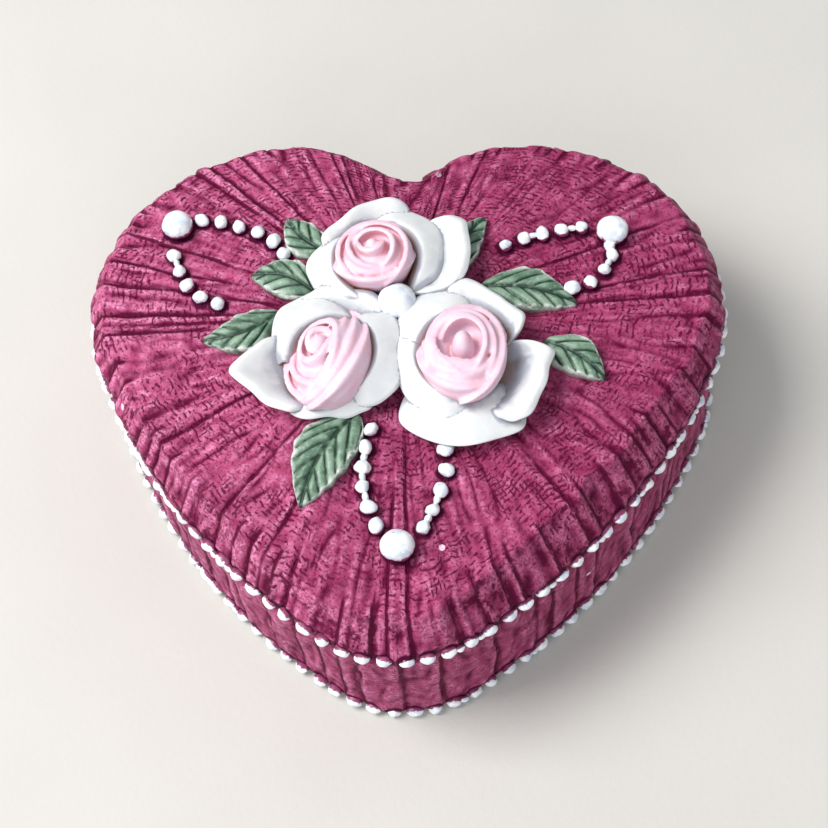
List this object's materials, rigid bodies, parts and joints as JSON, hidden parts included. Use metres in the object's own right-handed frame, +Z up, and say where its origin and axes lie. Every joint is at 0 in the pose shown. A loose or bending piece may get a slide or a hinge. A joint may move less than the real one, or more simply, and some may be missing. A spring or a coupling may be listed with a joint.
{
  "type": "trinket box",
  "caption": "Heart-shaped trinket box with pleated sides, beaded edgings and a lift-off lid that carries roses, leaves and loops of pearls.",
  "frame": {"origin": "middle of the underside, on the table", "axes": "+X across the heart, +Y from its tip to its notch, +Z up"},
  "size_m": [0.1112, 0.0986, 0.0446],
  "materials": {
    "mauve_resin": "hand-painted cast resin, satin, dark wash in the folds",
    "pearl_white": "gloss pearl paint",
    "ivory_petal": "matt bisque white with grey shading",
    "pink_bud": "matt pale pink, deeper in the folds",
    "leaf_green": "matt grey-green with dark veins",
    "felt": "wool felt"
  },
  "bodies": {
    "base": {"base_bead_edging": "pearl_white", "base_felt_pad": "felt", "base_shell": "mauve_resin"},
    "lid": {"centre_pearl": "pearl_white", "end_pearl_front": "pearl_white", "end_pearl_left": "pearl_white", "end_pearl_right": "pearl_white", "leaf_back_left": "leaf_green", "leaf_back_right": "leaf_green", "leaf_front": "leaf_green", "leaf_lower_left": "leaf_green", "leaf_lower_right": "leaf_green", "leaf_upper_left": "leaf_green", "leaf_upper_right": "leaf_green", "lid_bead_edging": "pearl_white", "lid_shell": "mauve_resin", "pearl_string_front": "pearl_white", "pearl_string_left": "pearl_white", "pearl_string_right": "pearl_white", "rose_back_bud": "pink_bud", "rose_back_petal_1": "ivory_petal", "rose_back_petal_2": "ivory_petal", "rose_back_petal_3": "ivory_petal", "rose_back_petal_4": "ivory_petal", "rose_left_bud": "pink_bud", "rose_left_petal_1": "ivory_petal", "rose_left_petal_2": "ivory_petal", "rose_left_petal_3": "ivory_petal", "rose_left_petal_4": "ivory_petal", "rose_left_petal_5": "ivory_petal", "rose_right_bud": "pink_bud", "rose_right_petal_1": "ivory_petal", "rose_right_petal_2": "ivory_petal", "rose_right_petal_3": "ivory_petal", "rose_right_petal_4": "ivory_petal", "rose_right_petal_5": "ivory_petal"}
  },
  "joints": [
    {"name": "lid_lift", "type": "slide", "parent": "base", "child": "lid", "axis": [0, 0, 1], "range_m": [0, 0.06]}
  ]
}
